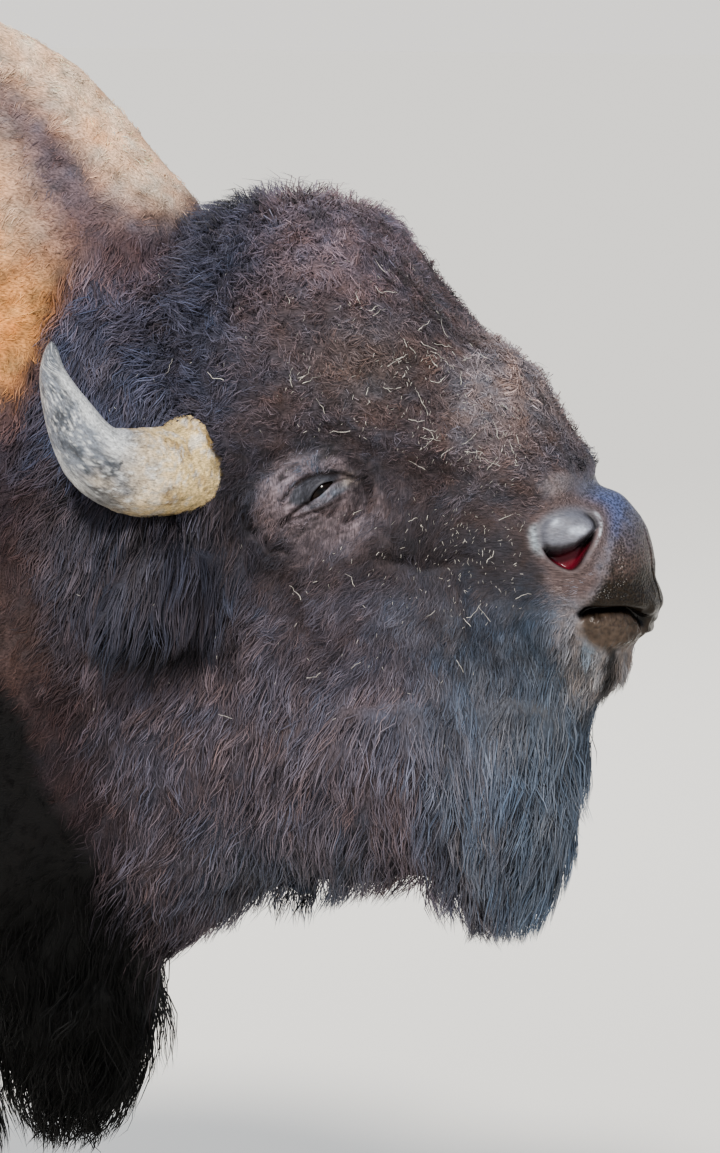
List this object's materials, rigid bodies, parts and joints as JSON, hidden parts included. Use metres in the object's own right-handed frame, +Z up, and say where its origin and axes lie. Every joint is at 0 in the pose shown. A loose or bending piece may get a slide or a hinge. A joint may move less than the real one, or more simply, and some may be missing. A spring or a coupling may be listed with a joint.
{
  "type": "american bison",
  "caption": "Life-size still american bison bull, standing with head raised: woolly crown and hump, long beard and mane, short horns curving back and up.",
  "frame": {"origin": "on the floor, under the middle of the animal's bounding box", "axes": "+Z up, +X the way the animal faces, +Y to its left"},
  "size_m": [2.6874, 0.7312, 1.8115],
  "materials": {
    "coat_cape": "woolly tan curls of the hump and shoulders",
    "coat_mane": "shaggy dark brown hair of the neck and ears",
    "coat_crown": "dense dark brown wool of the forehead and poll, tips faded",
    "coat_face": "short dark hair of the cheeks and face",
    "coat_beard": "long wavy near-black hair of the beard, throat and chest",
    "coat_rear": "short brown hair lying flat on the hindquarters",
    "coat_legs": "dark brown hair of the legs and tail",
    "muzzle_skin": "bare damp dark grey skin of the nose and lips",
    "horn": "worn grey horn, scuffed pale on the curve and darker at the tip",
    "hoof": "black-brown hoof horn with fine growth rings",
    "eye": "wet dark brown eye"
  },
  "bodies": {
    "root": {"trunk": "coat_cape", "sheath": "coat_legs", "neck": "coat_mane", "chest_mane": "coat_beard", "head": "coat_face", "muzzle": "muzzle_skin", "lower_jaw": "coat_beard", "crown": "coat_crown", "throat_mane": "coat_beard", "beard": "coat_beard", "tail": "coat_legs", "tail_brush": "coat_legs", "eye_right": "eye", "horn_right": "horn", "ear_right": "coat_mane", "foreleg_right": "coat_legs", "thigh_right": "coat_rear", "hindleg_right": "coat_legs", "hoof_fore_right_outer": "hoof", "hoof_fore_right_inner": "hoof", "hoof_hind_right_outer": "hoof", "hoof_hind_right_inner": "hoof", "eye_left": "eye", "horn_left": "horn", "ear_left": "coat_mane", "foreleg_left": "coat_legs", "thigh_left": "coat_rear", "hindleg_left": "coat_legs", "hoof_fore_left_outer": "hoof", "hoof_fore_left_inner": "hoof", "hoof_hind_left_outer": "hoof", "hoof_hind_left_inner": "hoof"}
  },
  "joints": []
}
